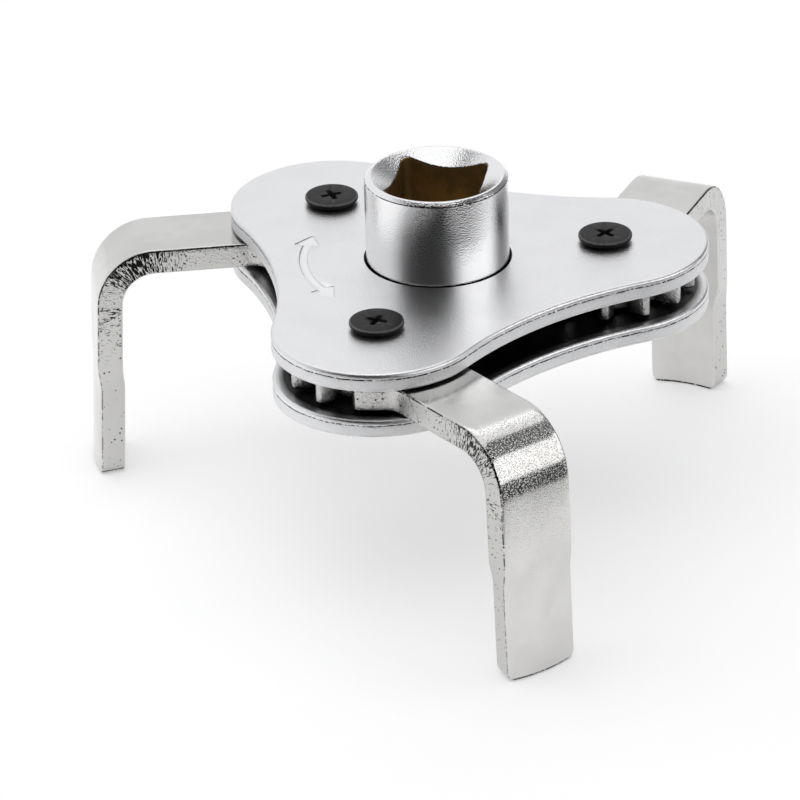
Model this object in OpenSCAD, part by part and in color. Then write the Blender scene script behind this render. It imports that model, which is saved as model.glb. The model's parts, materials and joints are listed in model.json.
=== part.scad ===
// Two-way oil filter wrench: three geared jaws between two lobed plates,
// all turned together by a hub with a square socket.
// The origin is on the drive axis, in the plane of the feet, and +Z points up along the axis.
// The first jaw pivots on the +X axis, and the others follow anticlockwise, 120 degrees apart.

/* [Plates] */
// Distance from the drive axis to each jaw pivot
pivot_r = 24.8; // [24.4:0.1:25.4]
// Radius of each rounded lobe
lobe_r = 15.1; // [14.6:0.1:15.6]
// Distance from the drive axis to the plate's edge halfway between two lobes
waist_r = 24.2; // [23.8:0.1:24.6]
// Thickness of each plate
plate_t = 2.6; // [2.2:0.1:3.2]
// Height of the top plate's upper face above the feet
top_z = 39.7; // [34:0.2:46]
// Depth of the turning arrow stamped in the top plate
stamp_depth = 0.2; // [0.1:0.05:0.5]

/* [Drive hub] */
// Across the flats of the socket, which takes a half-inch square drive
square_w = 12.8; // [12.7:0.05:12.95]
// Radius of the hub above the top plate
hub_r = 10.45; // [10.2:0.05:10.5]
// Height of the hub above the top plate
hub_h = 13.05; // [10:0.05:16]
// Turn of the socket's flats from the first pivot, degrees
socket_turn = -22.7; // [-45:0.1:45]

/* [Gears] */
// Teeth on the hub's gear, a multiple of three
sun_teeth = 15; // [15]
// Teeth that a full circle of a jaw's gear would have
jaw_teeth = 13; // [13]
// Pressure angle of the teeth, degrees
pressure_angle = 22; // [20:1:24]
// Play between meshed flanks, measured along the pitch circle
backlash = 0.5; // [0.3:0.05:0.7]

/* [Jaws] */
// Width of the flat bar
bar_w = 12; // [11:0.1:12.6]
// Thickness of the flat bar
bar_t = 3.8; // [3.4:0.1:4]
// Distance from a jaw's pivot to the outer face of its leg, just below the bend
arm_reach = 36; // [34:0.1:38]
// Inside radius of the bend
bend_in_r = 5.1; // [3:0.1:6]
// Outward lean of the legs, degrees
leg_lean = 2.6; // [0:0.1:4]
// Height of the lower part of a leg, which is pressed hollow
pressed_h = 17.5; // [10:0.5:22]
// Outside radius of the pressed part
pressed_r = 26; // [24:1:40]
// Swing of the jaws at rest, from straight out, degrees
rest_swing = 58.1; // [0:0.1:110]

/* [Pivots and screws] */
// Radius of the bush that a jaw turns on
bush_r = 4.5; // [4:0.1:5]
// Thickness of the thrust washers
washer_t = 0.3; // [0.2:0.05:0.4]
// Radius of a screw head
head_r = 3.95; // [3.5:0.05:4.5]
// Height of a screw head
head_h = 1.2; // [1:0.1:1.6]
// Radius of a screw head where it meets the plate
head_foot_r = 3.3; // [2.8:0.1:3.9]

/* [Hidden] */

$fn = 96;
lobes = 3;
lobe_step = 360 / lobes;
past = 1;                 // how far a cutter runs past the face that it cuts

// Stack between the plates, from the bottom plate up
side_play = 0.1;
plate_gap = bar_t + 2 * washer_t + 2 * side_play;
gap_top_z = top_z - plate_t;
gap_bottom_z = gap_top_z - plate_gap;
base_z = gap_bottom_z - plate_t;
arm_z = gap_bottom_z + washer_t + side_play;

// Running fits
bore_clearance = 0.05;
plate_hole_r = 10.75;
journal_r = plate_hole_r - bore_clearance;
journal_sink = 0.8;       // the journal stops this far below the top plate's face

// Plate edge between the lobes: an arc that meets both lobes smoothly
waist_less_lobe = waist_r - lobe_r;
waist_centre_r = (pow(pivot_r, 2) - pow(waist_less_lobe, 2)) / (pivot_r - 2 * waist_less_lobe);
waist_arc_r = waist_centre_r - waist_r;

// Hub rim and socket mouth
rim_chamfer = 0.6;
rim_chamfer_h = 0.55;
mouth_r = 9.5;
mouth_slope = 32;
mouth_depth = 3;
socket_corner_r = 0.9;

// Gears, sized so that the pitch circles touch on the line from the axis to a pivot
module_size = 2 * pivot_r / (sun_teeth + jaw_teeth);
sun_pitch_r = module_size * sun_teeth / 2;
jaw_pitch_r = module_size * jaw_teeth / 2;
addendum = 0.9 * module_size;
dedendum = 1.1 * module_size;
sun_tip_r = sun_pitch_r + addendum;
jaw_tip_r = jaw_pitch_r + addendum;
flank_steps = 5;

// A jaw's teeth, by the angle of each space from the arm
jaw_pitch_deg = 360 / jaw_teeth;
first_space_deg = -62.9;
jaw_spaces = 10;
first_tooth_deg = first_space_deg + jaw_pitch_deg / 2;
// the hub's gear is turned so that a space faces the nearest jaw tooth
sun_space_deg = -(rest_swing + first_tooth_deg - 180) * jaw_teeth / sun_teeth;

// Jaw bend and leg, in the plane through the arm and the leg
bend_out_r = bend_in_r + bar_t;
bend_x = arm_reach - bend_out_r * cos(leg_lean);
bend_z = arm_z - bend_in_r;
foot_corner_r = 1.5;
corner_ease = 0.05;
neck_r = 3;
pressed_bulge = 0.15;      // the pressed part's crown stands this far proud of the flat part
pressed_lap = 0.5;         // the pressed part runs this far up into the flat part
pressed_half_deg = asin(bar_w / 2 / pressed_r);

// Screws
shank_r = 2;
shank_hole_r = 2.2;
shank_len = plate_t + plate_gap / 2 - 0.1;
head_edge_r = 0.3;
recess_r = 1.75;
recess_w = 0.9;
recess_depth = 1.6;
recess_turns = [36, 12, 57];   // each screw stopped at its own angle

// Turning arrow: a double-headed arc about the drive axis, opposite the first pivot
arrow_r = 19.6;
arrow_w = 1.3;
arrow_half_deg = 22;
arrow_head_w = 4.2;
arrow_head_len = 3.6;

function lobe_deg(i) = lobe_step * (i - 1);
function polar(r, a) = [r * cos(a), r * sin(a)];

// Involute teeth
function involute_deg(a) = tan(a) * 180 / PI - a;
function flank_angle(r, base_r) = acos(min(1, base_r / r));
// half the angle of a tooth space at radius r
function space_half_deg(r, pitch_r, teeth) =
    let (
        base_r = pitch_r * cos(pressure_angle),
        pitch_half = (90 / teeth) + backlash / 4 / pitch_r * 180 / PI
    )
    pitch_half - involute_deg(pressure_angle) + involute_deg(flank_angle(r, base_r));

module lobes_2d() {
    for (i = [1 : lobes]) rotate(lobe_deg(i)) translate([pivot_r, 0]) children();
}

// One tooth space, centred on the X axis
module tooth_space_2d(pitch_r, teeth) {
    root_r = pitch_r - dedendum;
    open_r = pitch_r + addendum + 0.4;
    radii = [for (i = [0 : flank_steps]) root_r + (open_r - root_r) * i / flank_steps];
    right = [for (r = radii) polar(r, -space_half_deg(r, pitch_r, teeth))];
    left = [for (i = [flank_steps : -1 : 0]) polar(radii[i], space_half_deg(radii[i], pitch_r, teeth))];
    polygon(concat(right, left));
}

module plate_2d() {
    corners = [for (i = [0 : 2 * lobes - 1])
        polar(i % 2 == 0 ? pivot_r : waist_centre_r, i * lobe_step / 2)];
    difference() {
        union() {
            difference() {
                polygon(corners);
                for (i = [0 : lobes - 1]) rotate(lobe_step * (i + 0.5))
                    translate([waist_centre_r, 0]) circle(r = waist_arc_r, $fn = 240);
            }
            lobes_2d() circle(r = lobe_r);
        }
        circle(r = plate_hole_r);
        lobes_2d() circle(r = shank_hole_r);
    }
}

// The double-headed arrow
module arrow_2d() {
    rotate(180) {
        intersection() {
            difference() {
                circle(r = arrow_r + arrow_w / 2);
                circle(r = arrow_r - arrow_w / 2);
            }
            polygon([[0, 0], polar(2 * arrow_r, -arrow_half_deg), polar(2 * arrow_r, arrow_half_deg)]);
        }
        for (side = [-1, 1]) rotate(side * arrow_half_deg) translate([arrow_r, 0])
            polygon([
                [-arrow_head_w / 2, -side * 0.2],
                [arrow_head_w / 2, -side * 0.2],
                [0, side * arrow_head_len]
            ]);
    }
}

module top_plate() {
    color([0.78, 0.78, 0.8]) difference() {
        translate([0, 0, gap_top_z]) linear_extrude(plate_t) plate_2d();
        translate([0, 0, top_z - stamp_depth]) linear_extrude(stamp_depth + past) arrow_2d();
    }
}

module bottom_plate() {
    color([0.76, 0.76, 0.78]) translate([0, 0, base_z]) linear_extrude(plate_t) plate_2d();
}

// Square socket with eased corners, and a conical mouth at each end
module socket() {
    turned_w = square_w / 2 - socket_corner_r;
    translate([0, 0, base_z - past]) rotate(socket_turn) linear_extrude(top_z + hub_h - base_z + 2 * past) {
        square([square_w, 2 * turned_w], center = true);
        square([2 * turned_w, square_w], center = true);
        for (x = [-1, 1], y = [-1, 1])
            translate([x * turned_w, y * turned_w]) circle(r = socket_corner_r, $fn = 32);
    }
    translate([0, 0, top_z + hub_h - mouth_depth])
        cylinder(h = mouth_depth, r1 = mouth_r - mouth_depth / tan(mouth_slope), r2 = mouth_r);
}

module drive_hub() {
    hub_top_z = top_z + hub_h;
    hub_base_z = base_z + side_play;
    color([0.8, 0.8, 0.82]) difference() {
        union() {
            translate([0, 0, hub_base_z]) cylinder(h = top_z - journal_sink - hub_base_z, r = journal_r);
            translate([0, 0, arm_z]) linear_extrude(bar_t) difference() {
                circle(r = sun_tip_r);
                for (i = [0 : sun_teeth - 1]) rotate(sun_space_deg + i * 360 / sun_teeth)
                    tooth_space_2d(sun_pitch_r, sun_teeth);
            }
            translate([0, 0, arm_z + bar_t]) cylinder(h = hub_top_z - rim_chamfer_h - arm_z - bar_t, r = hub_r);
            translate([0, 0, hub_top_z - rim_chamfer_h])
                cylinder(h = rim_chamfer_h, r1 = hub_r, r2 = hub_r - rim_chamfer);
        }
        socket();
    }
}

module washer(inner_r, outer_r, z) {
    color([0.6, 0.6, 0.62]) translate([0, 0, z]) difference() {
        cylinder(h = washer_t, r = outer_r);
        translate([0, 0, -past]) cylinder(h = washer_t + 2 * past, r = inner_r);
    }
}

module hub_washer(z) {
    washer(journal_r + 0.1, sun_pitch_r, z);
}

module jaw_washer(i, z) {
    rotate(lobe_deg(i)) translate([pivot_r, 0, 0]) washer(bush_r + 0.1, 6.8, z);
}

module pivot_bush(i) {
    rotate(lobe_deg(i)) translate([pivot_r, 0, gap_bottom_z])
        color([0.62, 0.6, 0.55]) difference() {
            cylinder(h = plate_gap, r = bush_r);
            translate([0, 0, -past]) cylinder(h = plate_gap + 2 * past, r = shank_r + bore_clearance);
        }
}

// Gear end, arm and bore, in the jaw's own frame with the arm along +X
module jaw_flat_2d() {
    half_w = bar_w / 2;
    neck_y = half_w + neck_r;
    neck_x = sqrt(pow(jaw_tip_r + neck_r, 2) - pow(neck_y, 2));
    difference() {
        union() {
            difference() {
                circle(r = jaw_tip_r);
                for (i = [0 : jaw_spaces - 1]) rotate(first_space_deg - i * jaw_pitch_deg)
                    tooth_space_2d(jaw_pitch_r, jaw_teeth);
            }
            translate([0, -half_w]) square([bend_x, bar_w]);
            for (side = [-1, 1]) difference() {
                polygon([[0, 0], [neck_x, side * neck_y], [neck_x, 0]]);
                translate([neck_x, side * neck_y]) circle(r = neck_r, $fn = 48);
            }
        }
        circle(r = bush_r + bore_clearance);
    }
}

// Everything inside the bar's side that is r from the bend's centre, from start_x on the arm
// down to end_z on the leg
function bar_side(r, start_x, end_z) = [
    [start_x, bend_z + r],
    [bend_x, bend_z + r],
    [bend_x + r * cos(leg_lean), bend_z + r * sin(leg_lean)],
    [bend_x + r / cos(leg_lean) + (bend_z - end_z) * tan(leg_lean), end_z],
    [start_x, end_z]
];

// Profile of the arm's end, the bend and the flat upper half of the leg
module bend_2d() {
    arm_start = bend_x - bar_w;
    difference() {
        union() {
            polygon(bar_side(bend_out_r, arm_start, pressed_h));
            translate([bend_x, bend_z]) circle(r = bend_out_r);
        }
        polygon(bar_side(bend_in_r, arm_start - past, pressed_h - past));
        translate([bend_x, bend_z]) circle(r = bend_in_r);
    }
}

// What a rounded lower corner of a foot cuts away. The round runs slightly past both faces.
module foot_corner_cut() {
    centre_y = bar_w / 2 + corner_ease - foot_corner_r;
    centre_z = foot_corner_r - corner_ease;
    translate([bend_x, centre_y, 0]) difference() {
        translate([0, 0, -past]) cube([4 * bar_t, foot_corner_r + past, centre_z + past]);
        translate([-past, 0, centre_z]) rotate([0, 90, 0])
            cylinder(h = 4 * bar_t + 2 * past, r = foot_corner_r);
    }
}

// The lower half of the leg, pressed hollow towards the filter, and cut level at the floor
module pressed_leg() {
    intersection() {
        translate([bend_x, 0, bend_z]) rotate([0, -leg_lean, 0])
            translate([bend_out_r + pressed_bulge - pressed_r, 0, -2 * bend_z]) rotate(-pressed_half_deg)
                rotate_extrude(angle = 2 * pressed_half_deg)
                    translate([pressed_r - bar_t, 0]) square([bar_t, 2 * bend_z]);
        translate([0, -bar_w, 0]) cube([2 * arm_reach, 2 * bar_w, pressed_h + pressed_lap]);
    }
}

module jaw(i) {
    color([0.74, 0.73, 0.7]) rotate(lobe_deg(i)) translate([pivot_r, 0, 0]) rotate(rest_swing) {
        translate([0, 0, arm_z]) linear_extrude(bar_t) jaw_flat_2d();
        translate([0, bar_w / 2, 0]) rotate([90, 0, 0]) linear_extrude(bar_w) bend_2d();
        difference() {
            pressed_leg();
            foot_corner_cut();
            mirror([0, 1, 0]) foot_corner_cut();
        }
    }
}

// A cross-recessed screw with its head above z = 0
module screw(turn) {
    color([0.06, 0.06, 0.065]) difference() {
        union() {
            rotate_extrude() {
                polygon([[0, 0], [head_foot_r, 0], [head_r, head_h / 2],
                         [head_r, head_h - head_edge_r], [0, head_h - head_edge_r]]);
                square([head_r - head_edge_r, head_h]);
                translate([head_r - head_edge_r, head_h - head_edge_r]) circle(r = head_edge_r, $fn = 32);
            }
            translate([0, 0, -shank_len]) cylinder(h = shank_len, r = shank_r);
        }
        intersection() {
            translate([0, 0, head_h - recess_depth]) cylinder(h = recess_depth, r1 = 0.5, r2 = recess_r);
            rotate(turn) translate([0, 0, head_h - recess_depth]) union() {
                translate([-recess_r, -recess_w / 2, 0]) cube([2 * recess_r, recess_w, recess_depth]);
                translate([-recess_w / 2, -recess_r, 0]) cube([recess_w, 2 * recess_r, recess_depth]);
            }
        }
    }
}

module top_screws() {
    for (i = [1 : lobes]) rotate(lobe_deg(i)) translate([pivot_r, 0, top_z])
        screw(recess_turns[i - 1]);
}

module bottom_screws() {
    for (i = [1 : lobes]) rotate(lobe_deg(i)) translate([pivot_r, 0, base_z]) mirror([0, 0, 1])
        screw(recess_turns[lobes - i]);
}

upper_washer_z = gap_top_z - washer_t;
lower_washer_z = gap_bottom_z;

top_plate();
bottom_plate();
drive_hub();
hub_washer(upper_washer_z);  // hub_washer_upper
hub_washer(lower_washer_z);  // hub_washer_lower
jaw(1);  // jaw_1
jaw(2);  // jaw_2
jaw(3);  // jaw_3
pivot_bush(1);  // pivot_bush_1
pivot_bush(2);  // pivot_bush_2
pivot_bush(3);  // pivot_bush_3
jaw_washer(1, upper_washer_z);  // jaw_washer_upper_1
jaw_washer(2, upper_washer_z);  // jaw_washer_upper_2
jaw_washer(3, upper_washer_z);  // jaw_washer_upper_3
jaw_washer(1, lower_washer_z);  // jaw_washer_lower_1
jaw_washer(2, lower_washer_z);  // jaw_washer_lower_2
jaw_washer(3, lower_washer_z);  // jaw_washer_lower_3
top_screws();
bottom_screws();
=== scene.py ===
"""Looks of the two-way oil filter wrench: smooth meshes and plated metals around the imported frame.

Shapes are worked out in millimetres, in the frame of the CAD model, and scaled to metres when a mesh is made.
"""

import json
import math

import bmesh
import bpy
from mathutils import Matrix, Vector, noise


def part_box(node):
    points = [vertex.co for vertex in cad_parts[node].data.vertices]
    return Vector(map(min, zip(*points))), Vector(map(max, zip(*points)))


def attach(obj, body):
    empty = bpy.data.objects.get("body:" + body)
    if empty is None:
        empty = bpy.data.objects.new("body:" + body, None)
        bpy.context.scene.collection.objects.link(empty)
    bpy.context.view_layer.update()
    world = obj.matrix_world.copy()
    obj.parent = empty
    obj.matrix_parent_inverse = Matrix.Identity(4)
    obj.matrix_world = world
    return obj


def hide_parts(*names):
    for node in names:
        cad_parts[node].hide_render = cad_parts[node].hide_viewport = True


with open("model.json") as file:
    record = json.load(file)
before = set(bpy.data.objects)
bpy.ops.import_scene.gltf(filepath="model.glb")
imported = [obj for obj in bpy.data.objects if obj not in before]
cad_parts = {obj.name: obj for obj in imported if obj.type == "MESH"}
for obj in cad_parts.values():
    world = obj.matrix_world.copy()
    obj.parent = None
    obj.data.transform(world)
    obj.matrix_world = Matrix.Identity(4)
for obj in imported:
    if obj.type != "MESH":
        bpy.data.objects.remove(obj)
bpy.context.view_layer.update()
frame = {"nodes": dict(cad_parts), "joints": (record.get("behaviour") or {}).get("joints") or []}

MM = 0.001
UM = 0.001 * MM

# ---------------------------------------------------------------- sizes, read from the frame


def node_z(node):
    """Lowest and highest point of a CAD node, in millimetres."""
    low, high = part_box(node)
    return low.z / MM, high.z / MM


JAWS = (1, 2, 3)
LOBE_STEP = 360 / len(JAWS)
pivots = {j["child"]: Vector(j["pos_m"]) / MM for j in frame["joints"] if j["child"].startswith("jaw")}
GAP_TOP, PLATE_TOP = node_z("top_plate")
PLATE_BASE, GAP_BASE = node_z("bottom_plate")
HUB_BASE, HUB_TOP = node_z("drive_hub")
ARM_TOP = node_z("jaw_1")[1]
PIVOT_R = pivots["jaw_1"].xy.length

# ---------------------------------------------------------------- sizes of the shapes, mm and degrees

# Plates
LOBE_R = 15.1
WAIST_R = 24.2
PLATE_HOLE_R = 10.75
SCREW_HOLE_R = 2.2
PLATE_ROLL_R = 0.5
BURR_R = 0.12

# Hub
HUB_R = 10.45
JOURNAL_R = 10.7
JOURNAL_SINK = 0.8
RIM_CHAMFER = 0.6
RIM_CHAMFER_H = 0.55
MOUTH_R = 9.5
MOUTH_SLOPE = 32
SQUARE_W = 12.8
SQUARE_CORNER_R = 1.25
SOCKET_TURN = -22.7
SOCKET_CHAMFER = 0.25
SOCKET_CHAMFER_H = 0.3
HUB_FOOT_R = 1.45 * SQUARE_W / 2

# Gears
SUN_TEETH = 15
JAW_TEETH = 13
PRESSURE_ANGLE = 22
BACKLASH = 0.5
MODULE = 2 * PIVOT_R / (SUN_TEETH + JAW_TEETH)
ADDENDUM = 0.9 * MODULE
DEDENDUM = 1.1 * MODULE
FIRST_SPACE = -62.9
JAW_SPACES = 10
SUN_EDGE_R = 0.2

# Jaws
BAR_W = 12
BAR_T = 3.8
ARM_REACH = 36
ARM_BASE = ARM_TOP - BAR_T
BEND_IN_R = 5.1
BEND_MID_R = BEND_IN_R + BAR_T / 2
BEND_OUT_R = BEND_IN_R + BAR_T
LEG_LEAN = 2.6
BEND_X = ARM_REACH - BEND_OUT_R * math.cos(math.radians(LEG_LEAN))
BEND_Z = ARM_BASE - BEND_IN_R
BEND_END_Z = BEND_Z + BEND_OUT_R * math.sin(math.radians(LEG_LEAN))
# Straight stretch of the bar on either side of the bend
BEND_MARGIN = 0.5
REST_SWING = 58.1
NECK_R = 3
PRESSED_R = 26
PRESSED_BULGE = 0.15
PRESSED_FROM = 18.2
PRESSED_TO = 13.8
FOOT_CORNER_R = 1.5
SOLE_R = 0.4
BAR_EDGE_R = 0.32
BORE_R = 4.55
BORE_EDGE_R = 0.2

# Screws
HEAD_R = 3.95
HEAD_H = node_z("top_screws")[1] - PLATE_TOP
HEAD_FOOT_R = 3.3
HEAD_EDGE_R = 0.3
SHANK_R = 2
SHANK_TIP = 0.4
SHANK_LEN = (GAP_TOP - GAP_BASE) / 2 + (PLATE_TOP - GAP_TOP) - 0.1
RECESS_REACH = 1.6
RECESS_W = 0.8
RECESS_TURNS = (36, 12, 57)

# Arrow stamped in the top plate
ARROW_R = 19.6
ARROW_W = 1.3
ARROW_HALF = 22
ARROW_HEAD_W = 4.2
ARROW_HEAD_LEN = 3.6
ARROW_CORNER_R = 0.24
STAMP_DEPTH = 0.2

# ---------------------------------------------------------------- outlines

# Distance between the points of a curved outline, and what it is on some of them
STEP = 0.4
ARROW_STEP = 0.6
HEAD_STEP = 0.26
SOCKET_STEP = 0.45
JAW_STEP = 0.6


def polar(radius, degrees, centre=(0, 0)):
    """A point at a radius and an angle from centre."""
    a = math.radians(degrees)
    return Vector((centre[0] + radius * math.cos(a), centre[1] + radius * math.sin(a)))


def arc(centre, radius, start, end, step=STEP):
    """Points along an arc from angle start to angle end, about step apart."""
    count = max(2, math.ceil(abs(math.radians(end - start)) * radius / step))
    return [polar(radius, start + (end - start) * i / count, centre) for i in range(count + 1)]


def circle(radius, step=STEP, centre=(0, 0)):
    """Points round a full circle, anticlockwise."""
    return arc(centre, radius, 0, 360, step)[:-1]


def fillet(before, corner, after, radius, steps=4):
    """Points of the arc that rounds a corner."""
    a = (before - corner).normalized()
    b = (after - corner).normalized()
    half = a.angle(b) / 2
    centre = corner + (a + b).normalized() * (radius / math.sin(half))
    first = corner + a * (radius / math.tan(half)) - centre
    last = corner + b * (radius / math.tan(half)) - centre
    sweep = math.atan2(first.x * last.y - first.y * last.x, first.dot(last))
    return [centre + Matrix.Rotation(sweep * i / steps, 2) @ first for i in range(steps + 1)]


def rounded(corners, closed=True, steps=4):
    """An outline through (point, radius) pairs, with each corner rounded to its radius."""
    points = []
    count = len(corners)
    for i, (corner, radius) in enumerate(corners):
        if radius == 0 or (not closed and i in (0, count - 1)):
            points.append(corner)
            continue
        before = corners[i - 1][0]
        after = corners[(i + 1) % count][0]
        points += fillet(before, corner, after, radius, steps)
    return points


def split(points, step, closed=True):
    """The same outline with its long sides divided."""
    made = []
    count = len(points)
    for i in range(count if closed else count - 1):
        a, b = points[i], points[(i + 1) % count]
        parts = max(1, math.ceil((b - a).length / step))
        made += [a.lerp(b, k / parts) for k in range(parts)]
    return made if closed else made + [points[-1]]


def outward(points, closed=True):
    """For each point of an anticlockwise outline, how it moves when the outline grows by 1."""
    count = len(points)
    found = []
    for i, p in enumerate(points):
        before = points[i - 1] if closed or i else None
        after = points[(i + 1) % count] if closed or i < count - 1 else None
        sides = [(p - before).normalized()] if before else []
        sides += [(after - p).normalized()] if after else []
        normals = [Vector((s.y, -s.x)) for s in sides]
        total = sum(normals, Vector((0, 0)))
        found.append(total / total.dot(normals[0]))
    return found


# ---------------------------------------------------------------- mesh tools


def bridge(bm, upper, lower, closed=True):
    """Faces between two rows of vertices."""
    count = len(upper)
    for i in range(count if closed else count - 1):
        k = (i + 1) % count
        bm.faces.new((upper[i], lower[i], lower[k], upper[k]))


def wall(bm, outline, profile, closed=True, shift=None):
    """Sweeps a profile of (inset, z) rows round an outline and returns the rows of vertices.
    shift(point, row) gives a further (inset, z) for each vertex."""
    moves = outward(outline, closed)
    rows = []
    for row, (inset, z) in enumerate(profile):
        made = []
        for p, move in zip(outline, moves):
            more_inset, more_z = shift(p, row) if shift else (0, 0)
            q = p - move * (inset + more_inset)
            made.append(bm.verts.new((q.x, q.y, z + more_z)))
        rows.append(made)
    for upper, lower in zip(rows, rows[1:]):
        bridge(bm, upper, lower, closed)
    return rows


def loop_edges(bm, loop, closed=True):
    """The edges along a row of vertices, made where there are none yet."""
    count = len(loop)
    pairs = [(loop[i], loop[(i + 1) % count]) for i in range(count if closed else count - 1)]
    return [bm.edges.get(pair) or bm.edges.new(pair) for pair in pairs]


def fill(bm, *loops):
    """A flat face inside the first loop of vertices and outside the others."""
    edges = [e for loop in loops for e in loop_edges(bm, loop)]
    bmesh.ops.triangle_fill(bm, use_beauty=True, use_dissolve=False, edges=edges)


def quarter(radius, z, down=True, steps=3):
    """Profile rows that round an edge between a flat face at z and the wall."""
    rows = []
    for i in range(steps + 1):
        a = math.radians(90 * i / steps)
        drop = radius * (1 - math.cos(a))
        inset = radius * (1 - math.sin(a))
        rows.append((inset, z - drop if down else z + drop))
    return rows if down else rows[::-1]


def rounded_edges(radius, top_z, base_z):
    """Profile rows of a straight wall with both its edges rounded."""
    return quarter(radius, top_z) + quarter(radius, base_z, down=False)


def hole(bm, outline, edge_r, top_z, base_z):
    """A hole right through, as rows of vertices from its top edge down."""
    return wall(bm, outline, [(-inset, z) for inset, z in rounded_edges(edge_r, top_z, base_z)])


# What the materials read from a mesh: painted shade lines, torn metal, a bar's narrow sides, wrinkles,
# bright edges, grease that also paints shade, and a point's place along a bar and below its outer face,
# in millimetres
MARKS = ("shade_line", "rough", "pitted", "wrinkle", "edge", "grease_and_shade", "along", "depth")


def new_mesh():
    """An empty mesh with a layer for each mark, since adding a layer later would drop its vertices."""
    bm = bmesh.new()
    for name in MARKS:
        bm.verts.layers.float.new(name)
    return bm


def mark(bm, name, vertices, value=1.0):
    """Sets one of the marks on some vertices."""
    layer = bm.verts.layers.float[name]
    for v in vertices:
        v[layer] = value


def piece(name, bm, materials, body, nodes, place=None):
    """Makes the finished object from a mesh in millimetres and puts it on its CAD body."""
    bmesh.ops.recalc_face_normals(bm, faces=bm.faces)
    bmesh.ops.transform(bm, matrix=Matrix.Scale(MM, 4) @ (place or Matrix.Identity(4)), verts=bm.verts)
    mesh = bpy.data.meshes.new(name)
    bm.to_mesh(mesh)
    bm.free()
    mesh.shade_smooth()
    for material in materials:
        mesh.materials.append(material)
    made = bpy.data.objects.new(name, mesh)
    bpy.context.scene.collection.objects.link(made)
    weighted = made.modifiers.new("flat_faces_stay_flat", "WEIGHTED_NORMAL")
    weighted.weight = 100
    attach(made, body)
    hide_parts(*nodes)


# ---------------------------------------------------------------- materials


class Nodes:
    """Short calls for building a node tree."""

    def __init__(self, tree):
        self.tree = tree
        tree.nodes.clear()

    def new(self, kind, inputs=(), **settings):
        """Adds a shader node of a kind, with values or links for its inputs."""
        node = self.tree.nodes.new("ShaderNode" + kind)
        for key, value in settings.items():
            setattr(node, key, value)
        for key, value in dict(inputs).items():
            self.put(node.inputs[key], value)
        return node

    def put(self, socket, value):
        """Links a value into a socket, or sets it there if it is a plain number or colour."""
        if isinstance(value, bpy.types.NodeSocket):
            self.tree.links.new(value, socket)
        else:
            socket.default_value = value

    def math(self, operation, a, b=0.0, clamp=False):
        """The result of one operation on two values."""
        return self.new("Math", {0: a, 1: b}, operation=operation, use_clamp=clamp).outputs[0]

    def dot(self, a, b):
        """The dot product of two vectors."""
        return self.new("VectorMath", {0: a, 1: b}, operation="DOT_PRODUCT").outputs["Value"]

    def ramp(self, value, low, high, to_low=0.0, to_high=1.0):
        """Maps value smoothly from low..high to to_low..to_high."""
        node = self.new("MapRange", {"Value": value, "From Min": low, "From Max": high,
                                     "To Min": to_low, "To Max": to_high}, interpolation_type="SMOOTHSTEP")
        return node.outputs["Result"]

    def mix(self, factor, a, b):
        """Colour a where factor is 0, and b where it is 1."""
        node = self.new("Mix", {0: factor, 6: a, 7: b}, data_type="RGBA")
        return node.outputs[2]

    def noise(self, coords, size_mm, detail=2.0, roughness=0.5, stretch=(1, 1, 1)):
        """Noise whose blobs are about size_mm across."""
        scale = 1 / (size_mm * MM)
        mapping = self.new("Mapping", {"Vector": coords, "Scale": [scale * s for s in stretch]})
        node = self.new("TexNoise", {"Vector": mapping.outputs[0], "Scale": 1.0, "Detail": detail,
                                     "Roughness": roughness})
        return node.outputs["Fac"]

    def bump(self, height, depth_um, normal=None):
        """The normal of a relief of this depth in micrometres, on top of another normal."""
        under = {"Normal": normal} if normal else {}
        node = self.new("Bump", {"Height": height, "Distance": depth_um * UM, "Strength": 1.0, **under})
        return node.outputs[0]

    def attribute(self, name):
        """One of the marks on the mesh."""
        return self.new("Attribute", attribute_name=name).outputs["Fac"]


def tint(colour, share=1.0):
    """The colour with its alpha, brighter or darker by a factor."""
    return (*(c * share for c in colour), 1)


def start(name):
    """A new material, the calls for its empty tree, and the coordinates on the object."""
    material = bpy.data.materials.new(name)
    material.use_nodes = True
    n = Nodes(material.node_tree)
    return material, n, n.new("TexCoord").outputs["Object"]


def surface(nodes, base, roughness, normal, metallic=1.0, **more):
    """The shader and the output. more are the shader's own sockets, with _ for a space."""
    shader = nodes.new("BsdfPrincipled", {"Base Color": base, "Roughness": roughness, "Metallic": metallic,
                                          "Normal": normal})
    for key, value in more.items():
        shader.inputs[key.replace("_", " ")].default_value = value
    nodes.new("OutputMaterial", {"Surface": shader.outputs[0]})


# Size of the plating's orange-peel grain, mm, and the noise at which it has its full height
GRAIN_SIZE = 0.2
GRAIN_TO = 0.78
# A bar's grain comes in and goes out over these distances past the start of its bend, mm, and this share
# of it is left on the arm and the leg
BEND_GRAIN_IN = (0.5, 3)
BEND_GRAIN_OUT = (11, 13)
FLAT_GRAIN = 0.25
# Pits of the narrow sides: distance from one to the next, mm, and where a pit's edge fades as a share of it
PIT_SPACING = 0.75
PIT_EDGE = (0.12, 0.24)
# Streaks per millimetre along a bar and across its thickness, and the noise over which a crease sets in
STREAK_SCALE = (4.2, 1.0, 1)
CREASE_FROM = 0.445
CREASE_TO = 0.485
# Shares of the metal's own colour that are left in places
CLOUD_TINT = 0.97
SIDES_CLOUD_TINT = 0.92
NARROW_SIDE_TINT = 0.82
# Share left in painted shade: the dark lines along edges and grooves, and the pits and creases
PAINTED_SHADE_TINT = 0.015
# Near-black grease, which also paints the shade in the gap between the plates and in the holes
GREASE_AND_SHADE = (0.012, 0.012, 0.014, 1)
BARE_METAL = (0.97, 0.97, 0.97, 1)


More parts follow.
